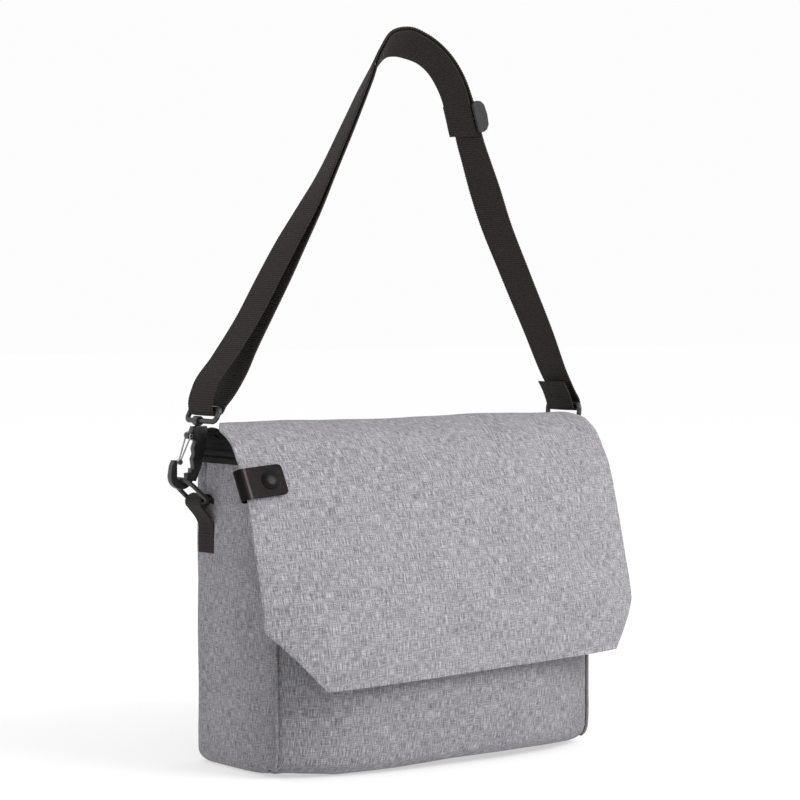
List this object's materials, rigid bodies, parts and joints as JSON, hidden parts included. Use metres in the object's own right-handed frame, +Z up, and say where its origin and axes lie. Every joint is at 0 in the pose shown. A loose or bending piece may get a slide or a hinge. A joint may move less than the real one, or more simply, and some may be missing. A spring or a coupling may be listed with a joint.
{
  "type": "messenger bag",
  "caption": "Grey fabric messenger bag with a full front flap, a leather snap tab, a zipped top and a clip-on adjustable webbing shoulder strap.",
  "frame": {"origin": "middle of the base, on the floor", "axes": "+Z up, the flap and front face -Y, +X to the right seen from the front"},
  "size_m": [0.4386, 0.182, 0.6354],
  "materials": {
    "grey_cloth": "heather grey melange canvas, matte",
    "black_cloth": "black plain-woven nylon",
    "webbing": "ribbed brown-black nylon webbing",
    "leather": "smooth dark grey-brown leather, slight gloss",
    "gunmetal": "dark nickel plating",
    "steel": "plain steel",
    "zip_coil": "black nylon coil",
    "stiffener": "plastic board"
  },
  "bodies": {
    "bag": {"back_panel": "grey_cloth", "base_board": "stiffener", "base_panel": "grey_cloth", "divider": "black_cloth", "front_panel": "grey_cloth", "front_welt_left": "grey_cloth", "front_welt_right": "grey_cloth", "gusset_left": "grey_cloth", "gusset_right": "grey_cloth", "lining": "black_cloth", "pocket_magnets": "gunmetal", "pocket_panel": "grey_cloth", "roof_panel_front": "black_cloth", "roof_panel_rear": "black_cloth", "slip_pocket": "black_cloth", "top_binding_left": "black_cloth", "top_binding_right": "black_cloth", "top_end_left": "black_cloth", "top_end_right": "black_cloth", "webbing_loop_left": "webbing", "webbing_loop_right": "webbing", "zip_coil_front": "zip_coil", "zip_coil_rear": "zip_coil", "zip_tape_front": "black_cloth", "zip_tape_rear": "black_cloth"},
    "flap": {"flap_outer": "grey_cloth", "flap_lining": "black_cloth", "flap_magnets": "gunmetal", "snap_tab_back": "leather", "snap_stud": "gunmetal"},
    "tab": {"snap_tab_front": "leather", "snap_cap": "gunmetal", "snap_socket": "gunmetal"},
    "strap": {"strap_webbing": "webbing", "upper_ring_left": "gunmetal", "upper_ring_right": "gunmetal", "swivel_eye_left": "gunmetal", "swivel_eye_right": "gunmetal", "hook_left": "gunmetal", "hook_right": "gunmetal", "gate_pin_left": "steel", "gate_pin_right": "steel", "lower_ring_left": "gunmetal", "lower_ring_right": "gunmetal"},
    "gate_left": {"gate_left": "gunmetal"},
    "gate_right": {"gate_right": "gunmetal"},
    "zip_slider": {"zip_slider": "gunmetal"},
    "zip_pull": {"zip_pull": "gunmetal"},
    "strap_slider": {"strap_slider": "gunmetal", "slider_bar": "steel"}
  },
  "joints": [
    {"name": "flap_hinge", "type": "hinge", "parent": "bag", "child": "flap", "pos_m": [0, 0.062, 0.266], "axis": [-1, 0, 0], "range_deg": [0, 110]},
    {"name": "strap_swing", "type": "hinge", "parent": "bag", "child": "strap", "pos_m": [0, 0.041, 0.226], "axis": [-1, 0, 0], "range_deg": [0, 110], "deforming": ["webbing_loop_left", "webbing_loop_right"]},
    {"name": "tab_fold", "type": "hinge", "parent": "flap", "child": "tab", "pos_m": [-0.19936, -0.05708, 0.24763], "axis": [0.0485, -0.421, -0.9058], "range_deg": [0, 140], "deforming": ["snap_tab_back"]},
    {"name": "gate_left_spring", "type": "hinge", "parent": "strap", "child": "gate_left", "pos_m": [-0.1945, 0.037, 0.286], "axis": [0, -1, 0], "range_deg": [0, 24], "stiffness_Nm_per_rad": 0.01, "springref_deg": -17.19},
    {"name": "gate_right_spring", "type": "hinge", "parent": "strap", "child": "gate_right", "pos_m": [0.21968, 0.037, 0.27645], "axis": [0, 1, 0], "range_deg": [0, 24], "stiffness_Nm_per_rad": 0.01, "springref_deg": -17.19},
    {"name": "zip_slide", "type": "slide", "parent": "bag", "child": "zip_slider", "axis": [-1, 0, 0], "range_m": [0, 0.27]},
    {"name": "zip_pull_swing", "type": "hinge", "parent": "zip_slider", "child": "zip_pull", "pos_m": [0.14, 0.008, 0.28125], "axis": [0, 1, 0], "range_deg": [0, 20]},
    {"name": "strap_slider_slide", "type": "slide", "parent": "strap", "child": "strap_slider", "axis": [0.289, 0, -0.9573], "range_m": [0, 0.028]}
  ],
  "couplings": [
    {"joint": "strap_swing", "follows": "flap_hinge", "ratio": 1}
  ]
}
